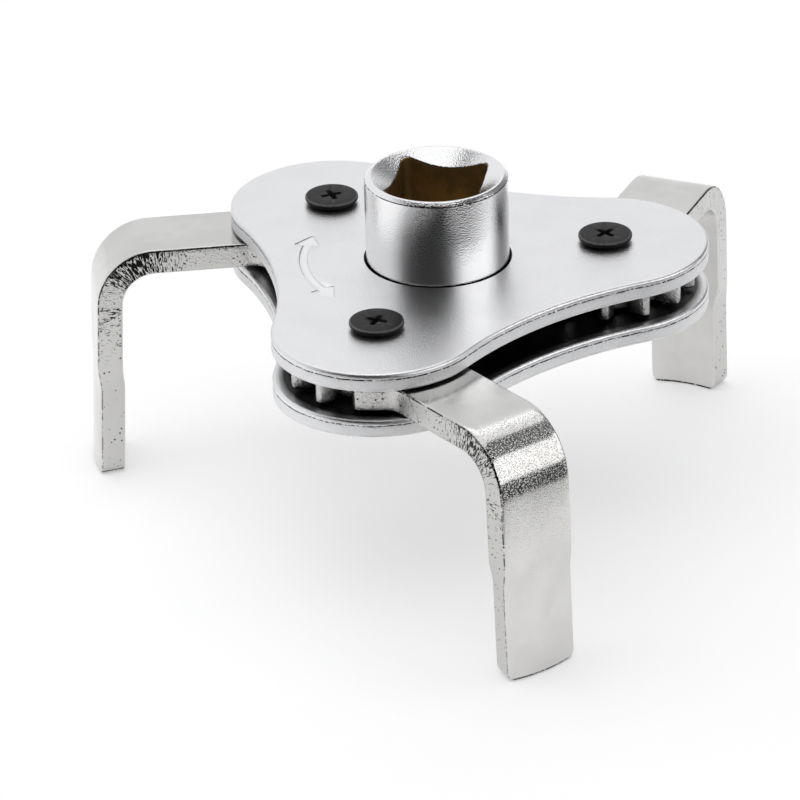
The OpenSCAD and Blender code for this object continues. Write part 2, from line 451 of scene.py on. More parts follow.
def broken_shade_lines(n, coords):
    """Painted shade lines along edges and grooves, broken up into fine dots and fainter in patches."""
    dots = n.ramp(n.noise(coords, 0.5, 4.0, 0.6), 0.36, 0.54)
    patches = n.ramp(n.noise(coords, 2.6, 2.0), 0.4, 0.52, 0.45, 1)
    return n.math("MULTIPLY", n.attribute("shade_line"), n.math("MULTIPLY", dots, patches), True)


def bar_grain(n, grain):
    """The grain of a bar, fainter on the arm and the leg than on the bend."""
    along = n.attribute("along")
    bent = n.math("MULTIPLY", n.ramp(along, *BEND_GRAIN_IN), n.ramp(along, *BEND_GRAIN_OUT, 1, 0))
    return n.math("MULTIPLY", grain, n.ramp(bent, 0, 1, FLAT_GRAIN, 1))


def narrow_sides(n, coords, colour, base, normal):
    """Adds the pits and wrinkles of a bar's narrow sides to its colour and its normal, with painted shade
    in the pits and creases.
    """
    pitted = n.attribute("pitted")
    base = n.mix(pitted, base, tint(colour, NARROW_SIDE_TINT))
    spots = n.new("TexVoronoi", {"Vector": coords, "Scale": 1 / (PIT_SPACING * MM), "Randomness": 1.0})
    pit = n.math("MULTIPLY", n.ramp(spots.outputs["Distance"], *PIT_EDGE, 1.0, 0.0),
                 n.ramp(n.noise(coords, 1.4, 2.0), 0.46, 0.56))
    pit = n.math("MULTIPLY", pit, n.ramp(pitted, 0.8, 0.95))

    along_bar = n.new("CombineXYZ", {0: n.attribute("along"), 1: n.attribute("depth"), 2: 0.0}).outputs[0]
    streaks = n.new("Mapping", {"Vector": along_bar, "Scale": STREAK_SCALE}).outputs[0]
    fan = n.new("TexNoise", {"Vector": streaks, "Scale": 1.0, "Detail": 3.0, "Roughness": 0.6,
                             "Distortion": 0.7}).outputs["Fac"]
    wrinkle = n.attribute("wrinkle")
    reach = n.math("ADD", fan, n.math("MULTIPLY", n.math("SUBTRACT", wrinkle, 1.0), 0.22))
    crease = n.math("MULTIPLY", n.ramp(reach, CREASE_FROM, CREASE_TO), n.ramp(wrinkle, 0.02, 0.1), True)

    # Painted shade: pits and creases are darkened nearly to black
    base = n.mix(n.math("MAXIMUM", n.math("MULTIPLY", pit, 0.85), crease), base, tint(colour, PAINTED_SHADE_TINT))
    dents = n.math("MULTIPLY", pitted, n.noise(coords, 0.5, 3.0, 0.6))
    dents = n.math("SUBTRACT", n.math("SUBTRACT", dents, pit), crease)
    return base, n.bump(dents, 80, normal)


def plated(name, colour, roughness, grain_um, grain_from=0.5, sides=False):
    """Plated steel: a fine orange-peel grain, cloudy patches and hairline scratches. Where the mesh is
    marked:
    torn edges, painted shade lines, and grease that also paints shade. A lower grain_from leaves less smooth
    metal between the grains. sides adds what a bar has: darker narrow sides with pits and wrinkles, with
    painted shade in the pits and creases, and more grain at the bend."""
    material, n, coords = start(name)
    grain = n.ramp(n.noise(coords, GRAIN_SIZE, 1.0), grain_from, GRAIN_TO)
    if sides:
        grain = bar_grain(n, grain)
    cloud = n.noise(coords, 7.0, 3.0)
    scratch = n.noise(coords, 0.22, 2.0, stretch=(1, 0.03, 1))
    rough = n.attribute("rough")
    tears = n.noise(coords, 0.3, 3.0, 0.7, stretch=(1, 1, 0.22))
    normal = n.bump(n.math("MULTIPLY", tears, rough), 110, n.bump(grain, grain_um))

    dull = tint(colour, SIDES_CLOUD_TINT if sides else CLOUD_TINT)
    base = n.mix(n.ramp(cloud, 0.35, 0.7), tint(colour), dull)
    base = n.mix(n.math("MULTIPLY", n.attribute("edge"), 0.85), base, BARE_METAL)
    if sides:
        base, normal = narrow_sides(n, coords, colour, base, normal)
    # Painted shade: dark lines along edges, grooves and round the sole
    base = n.mix(broken_shade_lines(n, coords), base, tint(colour, PAINTED_SHADE_TINT))
    # Grease, near black, also painting the shade in the gap between the plates and in the holes
    base = n.mix(n.math("MULTIPLY", n.attribute("grease_and_shade"), 0.93), base, GREASE_AND_SHADE)
    spread = n.math("ADD", n.ramp(cloud, 0.3, 0.7, roughness - 0.01, roughness + 0.015),
                    n.ramp(scratch, 0.66, 0.78, 0.0, 0.04))
    surface(n, base, n.math("ADD", spread, n.math("MULTIPLY", rough, 0.22), True), normal)
    return material


def socket_steel():
    """The unplated inside of the square socket: brown oxide over broached steel."""
    material, n, coords = start("socket_steel")
    cloud = n.noise(coords, 3.5, 3.0)
    broach = n.noise(coords, 0.35, 2.0, stretch=(1, 1, 0.04))
    base = n.mix(n.ramp(cloud, 0.35, 0.68), (0.44, 0.3, 0.12, 1), (0.23, 0.155, 0.06, 1))
    normal = n.bump(n.math("ADD", broach, n.noise(coords, 0.2, 2.0)), 14)
    surface(n, base, n.ramp(cloud, 0.3, 0.7, 0.3, 0.45), normal, metallic=0.9)
    return material


def black_oxide():
    """Blackened screws: nearly black, with a dull sheen, a coarse grain and lighter rubbed edges, which are
    worn bare metal and also a painted highlight round the rim.
    """
    material, n, coords = start("black_oxide")
    cloud = n.noise(coords, 1.6, 3.0)
    base = n.mix(n.ramp(cloud, 0.35, 0.7), (0.008, 0.008, 0.0085, 1), (0.018, 0.018, 0.019, 1))
    # Lighter rubbed edges: worn bare metal, and also a painted highlight round the rim
    rubbed_and_highlight = n.math("MULTIPLY", n.attribute("edge"), n.ramp(n.noise(coords, 0.6, 3.0), 0.25, 0.45), True)
    base = n.mix(n.math("MULTIPLY", rubbed_and_highlight, 0.38), base, (0.3, 0.3, 0.3, 1))
    rough = n.attribute("rough")
    gloss = n.math("ADD", n.ramp(cloud, 0.3, 0.7, 0.34, 0.46), n.math("MULTIPLY", rough, 0.15))
    fine = n.bump(n.noise(coords, 0.16, 3.0, 0.65), 26)
    coarse = n.bump(n.math("MULTIPLY", n.noise(coords, 0.4, 3.0), rough), 90, fine)
    surface(n, base, gloss, coarse, metallic=0.0, Specular_IOR_Level=0.16)
    return material


def turned_steel(name, colour):
    """Small turned parts inside the stack."""
    material, n, coords = start(name)
    cloud = n.noise(coords, 2.5, 3.0)
    rings = n.noise(coords, 0.3, 2.0, stretch=(0.1, 0.1, 1))
    base = n.mix(n.ramp(cloud, 0.35, 0.68), tint(colour), tint(colour, 0.72))
    normal = n.bump(n.math("ADD", rings, n.noise(coords, 0.15, 2.0)), 8)
    surface(n, base, n.ramp(cloud, 0.3, 0.7, 0.26, 0.4), normal)
    return material


PLATE_METAL = plated("satin_plate", (0.85, 0.852, 0.862), 0.31, 20, grain_from=0.2)
HUB_METAL = plated("satin_chrome", (0.91, 0.912, 0.92), 0.12, 18, grain_from=0.2)
JAW_METAL = plated("nickel_bar", (0.7, 0.694, 0.68), 0.14, 26, sides=True)
SOCKET_METAL = socket_steel()
SCREW_METAL = black_oxide()
BUSH_METAL = turned_steel("bush_steel", (0.5, 0.47, 0.4))
WASHER_METAL = turned_steel("washer_steel", (0.55, 0.55, 0.56))

# ---------------------------------------------------------------- gears


def space_half(r, pitch_r, teeth):
    """Half the angle of a tooth space at radius r: involute flanks, radial below the base circle."""
    def involute(a):
        return math.degrees(math.tan(math.radians(a))) - a

    flank = math.degrees(math.acos(min(1, pitch_r * math.cos(math.radians(PRESSURE_ANGLE)) / r)))
    pitch_half = 90 / teeth + math.degrees(BACKLASH / 4 / pitch_r)
    return pitch_half - involute(PRESSURE_ANGLE) + involute(flank)


def space_corners(middle, pitch_r, teeth, steps=5, tip_corner=0.3, root_corner=0.5):
    """The corners of one tooth space, anticlockwise, from one tip corner to the other."""
    root_r, tip_r = pitch_r - DEDENDUM, pitch_r + ADDENDUM
    radii = [root_r + (tip_r - root_r) * i / steps for i in range(steps + 1)]
    corner = {0: root_corner, steps: tip_corner}
    side = [(i, r, space_half(r, pitch_r, teeth)) for i, r in enumerate(radii)]
    into = [(polar(r, middle - half), corner.get(i, 0)) for i, r, half in reversed(side)]
    out = [(polar(r, middle + half), corner.get(i, 0)) for i, r, half in side]
    return into + out


# ---------------------------------------------------------------- plates


def plate_outline():
    """Three lobes joined by hollow waists, anticlockwise."""
    less = WAIST_R - LOBE_R
    waist_centre_r = (PIVOT_R ** 2 - less ** 2) / (PIVOT_R - 2 * less)
    to_waist = polar(waist_centre_r, LOBE_STEP / 2) - Vector((PIVOT_R, 0))
    lobe_half = math.degrees(math.atan2(to_waist.y, to_waist.x))
    waist_half = lobe_half - LOBE_STEP / 2
    points = []
    for i in range(len(JAWS)):
        turn = i * LOBE_STEP
        points += arc(polar(PIVOT_R, turn), LOBE_R, turn - lobe_half, turn + lobe_half)[:-1]
        middle = turn + LOBE_STEP / 2
        points += arc(polar(waist_centre_r, middle), waist_centre_r - WAIST_R,
                      middle + 180 + waist_half, middle + 180 - waist_half)[:-1]
    return points


def arrow_outline():
    """A double-headed arc arrow opposite the first pivot."""
    half_w = ARROW_W / 2
    half_head = ARROW_HEAD_W / 2

    def corner(x, y, side):
        """A rounded corner of one head, turned from the X axis to that end of the arrow."""
        point = Matrix.Rotation(math.radians(side * ARROW_HALF), 2) @ Vector((x, y))
        return point, ARROW_CORNER_R

    def shaft(radius, start, end):
        return [(p, 0) for p in arc((0, 0), radius, start, end, ARROW_STEP)]

    corners = [corner(ARROW_R, -ARROW_HEAD_LEN, -1), corner(ARROW_R + half_head, 0, -1)]
    corners += shaft(ARROW_R + half_w, -ARROW_HALF, ARROW_HALF)
    corners += [corner(ARROW_R + half_head, 0, 1), corner(ARROW_R, ARROW_HEAD_LEN, 1)]
    corners += [corner(ARROW_R - half_head, 0, 1)]
    corners += shaft(ARROW_R - half_w, ARROW_HALF, -ARROW_HALF)
    corners += [corner(ARROW_R - half_head, 0, -1)]
    return [-p for p in rounded(corners)]


# Rows of a punched edge: share of the plate's thickness, inset, painted shade line and roughness marks.
# The painted shade darkens the groove where the smooth band meets the torn one.
PUNCHED_ROWS = (
    (0.22, 0.0, 0, 0.3),
    (0.26, 0.0, 0, 0.5),
    (0.29, 0.01, 1.2, 0.7),
    (0.31, 0.05, 2.4, 1),
    (0.335, 0.05, 2, 1),
    (0.37, 0.03, 0, 1),
    (0.5, 0.03, 0, 1),
    (0.65, 0.03, 0, 1),
    (0.8, 0.03, 0, 0.9),
    (0.92, 0.03, 0, 0.7),
)
# The first of them that wanders, and the first that wanders less in height
RAGGED_FROM = 2
CALMER_FROM = 6
# How far they wander: in and out, and in height by a slow and a quick wave
RAGGED_INSET = 0.03
RAGGED_WAVE = 0.1
RAGGED_CHATTER = 0.05
# Grease, and the shade painted with it, on the face that looks into the gap fades in between these insets
GREASE_SHADE_FROM = 0.8
GREASE_SHADE_TO = 1.7
# Rows of the wall round the stamped arrow: inset and depth
STAMP_ROWS = ((-0.08, 0), (-0.02, 0.02), (0.06, 0.09), (0.14, 0.17), (0.22, STAMP_DEPTH))


def punched_edge(bm, base_z, top_z, seed, is_top):
    """The outer edge of a plate, marked row by row, with two more rows on the face towards the gap."""
    middle = [(inset, top_z - share * (top_z - base_z)) for share, inset, _, _ in PUNCHED_ROWS]
    above = [] if is_top else [(GREASE_SHADE_TO, top_z), (GREASE_SHADE_FROM, top_z)]
    above += quarter(PLATE_ROLL_R, top_z, steps=6)
    below = quarter(BURR_R, base_z, down=False)
    below += [(GREASE_SHADE_FROM, base_z), (GREASE_SHADE_TO, base_z)] if is_top else []
    first = len(above)

    def ragged(p, row):
        """The torn part of the edge, from the dark line down, wanders up and down and in and out."""
        if not first + RAGGED_FROM <= row < first + len(middle):
            return 0, 0
        wave = noise.noise(Vector((p.x, p.y, seed)) * 0.55)
        chatter = noise.noise(Vector((p.x, p.y, seed + 7 * row)) * 2.3)
        fade = 1 if row < first + CALMER_FROM else 0.4
        return RAGGED_INSET * chatter, fade * (RAGGED_WAVE * wave + RAGGED_CHATTER * chatter)

    rows = wall(bm, plate_outline(), above + middle + below, shift=ragged)
    for row, (_, _, shade_line, rough) in zip(rows[first:], PUNCHED_ROWS):
        mark(bm, "shade_line", row, shade_line)
        mark(bm, "rough", row, rough)
    return rows


def greasy_shaded_hole(bm, outline, base_z, top_z):
    """A hole through a plate, greasy and painted dark as shade below its top edge."""
    rows = hole(bm, outline, BURR_R, top_z, base_z)
    # Grease and painted shade down the hole
    mark(bm, "grease_and_shade", [v for row in rows[2:] for v in row])
    return rows


def stamped_arrow(bm, top_z):
    """The arrow pressed into the top face, and the loop of vertices where it leaves that face."""
    pressed = wall(bm, arrow_outline(), [(inset, top_z - depth) for inset, depth in STAMP_ROWS])
    mark(bm, "edge", pressed[-1], 0.6)
    # A painted shadow along one row of the arrow's wall
    mark(bm, "shade_line", pressed[2], 0.4)
    fill(bm, pressed[-1])
    return pressed[0]


def plate(name, base_z, top_z, seed, is_top):
    """A punched plate. The face that looks into the gap is greasy and painted dark as shade, and the top one
    carries the arrow.
    """
    bm = new_mesh()
    outlines = [circle(PLATE_HOLE_R)]
    outlines += [circle(SCREW_HOLE_R, centre=polar(PIVOT_R, i * LOBE_STEP)) for i in range(len(JAWS))]
    walls = [punched_edge(bm, base_z, top_z, seed, is_top)]
    walls += [greasy_shaded_hole(bm, outline, base_z, top_z) for outline in outlines]
    tops = [rows[0] for rows in walls]
    bases = [rows[-1] for rows in walls]
    # The face towards the gap: grease and painted shade
    for loop in bases if is_top else tops:
        mark(bm, "grease_and_shade", loop)
    if is_top:
        tops.append(stamped_arrow(bm, top_z))
    fill(bm, *tops)
    fill(bm, *bases)
    piece(name + "_punched", bm, [PLATE_METAL], "plates", [name])


# ---------------------------------------------------------------- drive hub

# Rows of the socket's mouth: how far outside the square, and how far below the cone
LIP_ROWS = ((0, 0.6), (0, 0.18), (0.04, 0.06), (0.12, 0.01), (0.22, 0))
# Rings of the socket's own walls, from its bottom up over the first of those rows
SOCKET_RINGS = 4
# Rows this far above and below the plate's face keep the grease and painted shade below it
ENTRY_MARGIN = 0.06
# How dark the painted shade lines under the rim's chamfer and round the socket's mouth are
RIM_LINE = 2.4
MOUTH_LINE = 0.9


def socket_outline():
    """The square socket with its rounded corners."""
    half = SQUARE_W / 2
    quadrants = ((1, -1), (1, 1), (-1, 1), (-1, -1))
    corners = [(Vector((x * half, y * half)), SQUARE_CORNER_R) for x, y in quadrants]
    turn = Matrix.Rotation(math.radians(SOCKET_TURN), 2)
    return [turn @ p for p in split(rounded(corners, steps=8), SOCKET_STEP)]


def hub_barrel(bm, square, turned_ring):
    """The inside of the socket, the conical mouth and the outside down to the gear, as rings from the bottom
    of the socket on."""
    slope = math.tan(math.radians(MOUTH_SLOPE))
    moves = outward(square)

    def lip(grow, drop):
        grown = [p + move * grow for p, move in zip(square, moves)]
        return [bm.verts.new((q.x, q.y, HUB_TOP - (MOUTH_R - q.length) * slope - drop)) for q in grown]

    rings = [[bm.verts.new((p.x, p.y, HUB_BASE + SOCKET_CHAMFER_H)) for p in square]]
    rings += [lip(grow, drop) for grow, drop in LIP_ROWS]
    outside = rounded([
        (Vector((MOUTH_R - 0.3, HUB_TOP - 0.3 * slope)), 0),
        (Vector((MOUTH_R, HUB_TOP)), 0.12),
        (Vector((HUB_R - RIM_CHAMFER, HUB_TOP)), 0.15),
        (Vector((HUB_R, HUB_TOP - RIM_CHAMFER_H)), 0.3),
        (Vector((HUB_R, PLATE_TOP + ENTRY_MARGIN)), 0),
        (Vector((HUB_R, PLATE_TOP - ENTRY_MARGIN)), 0),
        (Vector((HUB_R, PLATE_TOP - JOURNAL_SINK)), 0.1),
        (Vector((JOURNAL_R, PLATE_TOP - JOURNAL_SINK)), 0.08),
        (Vector((JOURNAL_R, ARM_TOP)), 0),
    ], closed=False)
    rings += [turned_ring(p.x, p.y) for p in outside]
    for upper, lower in zip(rings, rings[1:]):
        bridge(bm, upper, lower)
    return rings


def mark_barrel(bm, rings):
    """Painted shade lines under the rim's chamfer and round the socket's mouth, and grease with painted shade
    below the plate's face.
    """
    chamfer_z = HUB_TOP - RIM_CHAMFER_H
    for ring in rings:
        at = ring[0].co
        if abs(at.z - chamfer_z) < 0.05 and at.xy.length > MOUTH_R:
            mark(bm, "shade_line", ring, RIM_LINE)
        # Grease and painted shade where the barrel runs through and between the plates
        if HUB_BASE + 1 < at.z < PLATE_TOP:
            mark(bm, "grease_and_shade", ring)
    mark(bm, "shade_line", rings[SOCKET_RINGS - 1] + rings[SOCKET_RINGS], MOUTH_LINE)


def hub_gear(bm):
    """The gear between the plates, turned to mesh with the jaws at rest, as rows of vertices."""
    first_tooth = FIRST_SPACE + 180 / JAW_TEETH
    space = -(REST_SWING + first_tooth - 180) * JAW_TEETH / SUN_TEETH
    corners = []
    for i in range(SUN_TEETH):
        corners += space_corners(space + i * 360 / SUN_TEETH, MODULE * SUN_TEETH / 2, SUN_TEETH)
    gear = wall(bm, rounded(corners), rounded_edges(SUN_EDGE_R, ARM_TOP, ARM_BASE))
    mark(bm, "rough", [v for row in gear[3:5] for v in row], 0.8)
    # Grease and painted shade on the gear between the plates
    mark(bm, "grease_and_shade", [v for row in gear for v in row])
    return gear


def drive_hub():
    """Barrel, journals and gear in one piece, with a square socket and a conical mouth."""
    bm = new_mesh()
    square = socket_outline()
    angles = [math.degrees(math.atan2(p.y, p.x)) for p in square]

    def turned_ring(r, z):
        """A ring of the turned surface, with a vertex beside each one of the square."""
        return [bm.verts.new((*polar(r, a), z)) for a in angles]

    rings = hub_barrel(bm, square, turned_ring)
    mark_barrel(bm, rings)
    gear = hub_gear(bm)
    # Grease and painted shade where the barrel meets the gear
    mark(bm, "grease_and_shade", rings[-1])
    fill(bm, gear[0], rings[-1])

    # From the gear down, over the flat foot and into the socket
    lower = rounded([
        (Vector((JOURNAL_R, ARM_BASE)), 0),
        (Vector((JOURNAL_R, HUB_BASE)), 0.3),
        (Vector((HUB_FOOT_R, HUB_BASE)), 0),
    ], closed=False)
    below = [turned_ring(p.x, p.y) for p in lower]
    chamfer = [p + move * SOCKET_CHAMFER for p, move in zip(square, outward(square))]
    below.append([bm.verts.new((*p, HUB_BASE)) for p in chamfer])
    below.append(rings[0])
    for upper, under in zip(below, below[1:]):
        bridge(bm, upper, under)
    fill(bm, gear[-1], below[0])

    # The socket's walls take the unplated steel
    bm.faces.ensure_lookup_table()
    inside = {v for ring in rings[:SOCKET_RINGS] for v in ring}
    for face in bm.faces:
        if all(v in inside for v in face.verts):
            face.material_index = 1
    piece("drive_hub_turned", bm, [HUB_METAL, SOCKET_METAL], "hub", ["drive_hub"])


# ---------------------------------------------------------------- jaws

# How finely a bar is divided: across its narrow sides and its faces, round the bend, over the change to the
# pressed leg and round the foot's corners, and along the upper and the lower leg in mm
SIDE_ROWS = 6
FACE_PARTS = 14
BEND_PARTS = 34
CHANGE_PARTS = 8
FOOT_PARTS = 8
UPPER_STEP = 0.8
LOWER_STEP = 0.9
# Row of a narrow side that has the painted shade line along its edge, and how dark such lines are;
# the sole's line is a painted contact shadow
EDGE_ROW = 2
EDGE_LINE = 1.7
UPPER_LEG_LINE = 1.5
LOWER_LEG_LINE = 0.9
SOLE_CONTACT_SHADOW = 6
# How wrinkled each jaw's narrow sides are at the bend, and how far this reaches along the arm
WRINKLES = (0.12, 1.0, 0.75)
WRINKLE_REACH = 7.5


def jaw_outline():
    """Gear end, neck and arm, anticlockwise from the arm's left side to its right side."""
    half = BAR_W / 2
    pitch_r = MODULE * JAW_TEETH / 2
    tip_r = pitch_r + ADDENDUM
    neck_y = half + NECK_R
    neck_x = math.sqrt((tip_r + NECK_R) ** 2 - neck_y ** 2)
    neck = math.degrees(math.atan2(neck_y, neck_x))
    start_x = BEND_X - BEND_MARGIN
    step = 360 / JAW_TEETH
    corners = [(Vector((start_x, half)), 0)]
    corners += [(p, 0) for p in arc((neck_x, neck_y), NECK_R, -90, neck - 180)]
    for i in reversed(range(JAW_SPACES)):
        corners += space_corners(360 + FIRST_SPACE - i * step, pitch_r, JAW_TEETH, tip_corner=0.4)
    solid_from = 360 + FIRST_SPACE + space_half(tip_r, pitch_r, JAW_TEETH)
    corners += [(p, 0) for p in arc((0, 0), tip_r, solid_from, 360 - neck)[1:-1]]
    corners += [(p, 0) for p in arc((neck_x, -neck_y), NECK_R, 180 - neck, 90)]
    corners += [(Vector((start_x, -half)), 0)]
    return split(rounded(corners, closed=False), JAW_STEP, closed=False)


def bar_profile():
    """Rows of a narrow side from the outer face to the inner one, as (inset, z) on the flat arm."""
    flat_h = BAR_T - 2 * BAR_EDGE_R
    flat = [(0, ARM_TOP - BAR_EDGE_R - flat_h * k / SIDE_ROWS) for k in range(1, SIDE_ROWS)]
    return quarter(BAR_EDGE_R, ARM_TOP) + flat + quarter(BAR_EDGE_R, ARM_BASE, down=False)


def bar_section(profile):
    """One cross-section of the bar as (y, n), clockwise from the outer face's left edge, and its places
    across each face."""
    half = BAR_W / 2
    right = [(inset - half, z - ARM_TOP) for inset, z in profile]
    left = [(-y, n) for y, n in right]
    inner_w = half - profile[0][0]
    across = [inner_w * (1 - 2 * k / FACE_PARTS) for k in range(1, FACE_PARTS)]
    outer_face = [(y, 0) for y in across]
    inner_face = [(-y, -BAR_T) for y in across]
    return left[:1] + outer_face + right + inner_face + left[:0:-1], across


def bar_stations():
    """Places along the bar from the arm's end to the foot, as (kind, value): the bend by its angle, and the
    leg by its height."""
    stations = [("bend", (90 - LEG_LEAN) * i / BEND_PARTS) for i in range(BEND_PARTS + 1)]
    leg_top = BEND_END_Z - BEND_MARGIN
    heights = [leg_top - UPPER_STEP * i for i in range(int((leg_top - PRESSED_FROM) / UPPER_STEP))]
    drop = PRESSED_FROM - PRESSED_TO
    heights += [PRESSED_FROM - drop * i / CHANGE_PARTS for i in range(CHANGE_PARTS + 1)]
    lower_count = int((PRESSED_TO - FOOT_CORNER_R) / LOWER_STEP)
    heights += [PRESSED_TO - LOWER_STEP * i for i in range(1, lower_count + 1)]
    foot = [math.sin(math.radians(90 * i / FOOT_PARTS)) for i in range(FOOT_PARTS + 1)]
    heights += [FOOT_CORNER_R * (1 - share) for share in foot]
    return stations + [("leg", z) for z in heights]


def lost_in_corner(radius, height):
    """How far a rounded corner of this radius has drawn in at a height above the floor."""
    if height >= radius:
        return 0
    return radius - math.sqrt(radius ** 2 - (radius - height) ** 2)


def bar_point(station, y, n):
    """A point of the bar: y across its width, n from 0 on the outer face to -BAR_T on the inner one."""
    kind, value = station
    if kind == "bend":
        a = math.radians(value)
        r = BEND_OUT_R + n
        return Vector((BEND_X + r * math.sin(a), y, BEND_Z + r * math.cos(a)))
    # The lower leg is pressed to an arc, over a short transition
    half = BAR_W / 2
    share = min(1, max(0, (PRESSED_FROM - value) / (PRESSED_FROM - PRESSED_TO)))
    share = share * share * (3 - 2 * share)
    turn = math.asin(half / PRESSED_R) * y / half
    pressed_y = (PRESSED_R + n) * math.sin(turn)
    pressed_n = (PRESSED_R + n) * math.cos(turn) - PRESSED_R + PRESSED_BULGE
    y += (pressed_y - y) * share
    n += (pressed_n - n) * share
    # Rounded corners at the foot, and a rounded edge all round the sole
    y *= (half - lost_in_corner(FOOT_CORNER_R, value)) / half
    n += -2 * lost_in_corner(SOLE_R, value) * (n + BAR_T / 2) / BAR_T
    lean = math.radians(LEG_LEAN)
    outer_x = BEND_X + BEND_OUT_R / math.cos(lean) + (BEND_Z - value) * math.tan(lean)
    return Vector((outer_x + n / math.cos(lean), y, value))


def flat_part(bm, outline, profile, across):
    """The toothed end, the neck and the arm, as the rows of their wall and the ring that the bend joins."""
    sides = wall(bm, outline, profile, closed=False)
    ring = [sides[0][0]]
    ring += [bm.verts.new((outline[0].x, y, ARM_TOP)) for y in across]
    ring += [row[-1] for row in sides]
    ring += [bm.verts.new((outline[0].x, -y, ARM_BASE)) for y in across]
    ring += [row[0] for row in sides[:0:-1]]
    top_loop = sides[0] + ring[FACE_PARTS - 1:0:-1]
    bottom_start = FACE_PARTS + len(sides)
    bottom_loop = sides[-1] + ring[bottom_start:bottom_start + FACE_PARTS - 1]

    bore = hole(bm, circle(BORE_R), BORE_EDGE_R, ARM_TOP, ARM_BASE)
    fill(bm, top_loop, bore[0])
    fill(bm, bottom_loop, bore[-1])
    return sides, ring


def bent_part(bm, first_ring, section, stations):
    """The bend and the leg, as rings of vertices from the arm's end to the sole."""
    rings = [first_ring]
    for station in stations:
        made = [bm.verts.new(bar_point(station, y, n)) for y, n in section]
        bridge(bm, made, rings[-1])
        rings.append(made)
    bm.faces.new(rings[-1])
    return rings


def mark_bent_part(bm, rings, section, stations, wrinkled):
    """Marks the bend and the leg: pits and wrinkles on the narrow sides, painted shade lines along the edges,
    and a painted contact shadow round the sole."""
    narrow = [k for k, (y, _) in enumerate(section) if abs(y) > BAR_W / 2 - 0.01]
    edge_lines = (-EDGE_ROW, FACE_PARTS + EDGE_ROW)
    bend_len = math.radians(90 - LEG_LEAN) * BEND_MID_R
    for (kind, value), ring in zip([("bend", 0)] + stations, rings):
        # Most wrinkled a third of the way round the bend, smooth at its end, wrinkled again on the upper leg
        if kind == "bend":
            along = math.radians(value) * BEND_MID_R
            strength = 0.8 + 0.6 * math.sin(math.radians(value * 3)) - value / 400
            line = EDGE_LINE
        else:
            along = bend_len + BEND_END_Z - value
            strength = 0.55 * (value - PRESSED_FROM) / BEND_OUT_R
            line = UPPER_LEG_LINE if value > PRESSED_FROM else LOWER_LEG_LINE
        side = [ring[k] for k in narrow]
        mark(bm, "pitted", side, 1.0)
        mark(bm, "wrinkle", side, wrinkled * max(0, min(1, strength)))
        mark(bm, "shade_line", [ring[k] for k in edge_lines], line)
        mark(bm, "along", ring, along)
        for (_, n), v in zip(section, ring):
            mark(bm, "depth", [v], -n)
    # The three rings above the sole are its rounded edge and take the painted contact shadow, which is one
    # ring higher on the narrow sides
    mark(bm, "shade_line", [v for ring in rings[-4:-1] for v in ring], SOLE_CONTACT_SHADOW)
    mark(bm, "shade_line", [rings[-5][k] for k in narrow], SOLE_CONTACT_SHADOW)


def mark_flat_part(bm, sides, outline, profile, wrinkled):
    """Marks the flat part's wall: torn metal, bright and rougher on the teeth, wrinkled near the bend."""
    tip_r = MODULE * JAW_TEETH / 2 + ADDENDUM
    for row, (_, z) in zip(sides, profile):
        mark(bm, "depth", row, ARM_TOP - z)
        for p, v in zip(outline, row):
            mark(bm, "along", [v], p.x - BEND_X)
    for row in sides[EDGE_ROW + 1:-EDGE_ROW - 1]:
        teeth = [v for p, v in zip(outline, row) if p.length < tip_r + 0.2]
        mark(bm, "rough", row, 0.35)
        mark(bm, "rough", teeth, 0.6)
        mark(bm, "edge", teeth, 0.8)
        mark(bm, "pitted", row, 1.0)
        for p, v in zip(outline, row):
            strength = 0.8 + (p.x - outline[0].x) / WRINKLE_REACH
            mark(bm, "wrinkle", [v], wrinkled * max(0, strength))
    # A painted shade line along the edge of the wall
    mark(bm, "shade_line", sides[EDGE_ROW], EDGE_LINE)


def jaw(i):
    """One jaw: a bar toothed at its pivot and bent down to a leg, made with its arm along X, then placed."""
    bm = new_mesh()
    wrinkled = WRINKLES[i - 1]
    outline = jaw_outline()
    profile = bar_profile()
    section, across = bar_section(profile)
    stations = bar_stations()
    sides, first_ring = flat_part(bm, outline, profile, across)
    rings = bent_part(bm, first_ring, section, stations)
    mark_bent_part(bm, rings, section, stations, wrinkled)
    mark_flat_part(bm, sides, outline, profile, wrinkled)
    swing = Matrix.Rotation(math.radians(LOBE_STEP * (i - 1) + REST_SWING), 4, "Z")
    place = Matrix.Translation(pivots[f"jaw_{i}"] * Vector((1, 1, 0))) @ swing
    piece(f"jaw_{i}_bar", bm, [JAW_METAL], f"jaw_{i}", [f"jaw_{i}"], place)


# ---------------------------------------------------------------- screws

# Rows of a head's side, below its rolled edge: inset and share of the head's height
HEAD_ROWS = ((0, 0.62), (0.06, 0.5), (0.3, 0.25), (HEAD_R - HEAD_FOOT_R, 0))
HEAD_UNEVEN = 0.03
# Rows of the cross recess: depth, and how much narrower it is there
RECESS_ROWS = ((0, -0.1), (0.06, 0), (0.6, 0.25), (1.1, 0.55), (1.5, 0.85))


def cross_outline(reach, width):
    """A cross with rounded ends and inner corners."""
    half = width / 2
    corners = []
    for i in range(4):
        turn = Matrix.Rotation(math.radians(90 * i), 2)
        corners.append((turn @ Vector((half, -half)), 0.12 * width))
        corners.append((turn @ Vector((reach, -half)), 0.28 * width))
        corners.append((turn @ Vector((reach, half)), 0.28 * width))
    return rounded(corners, steps=3)


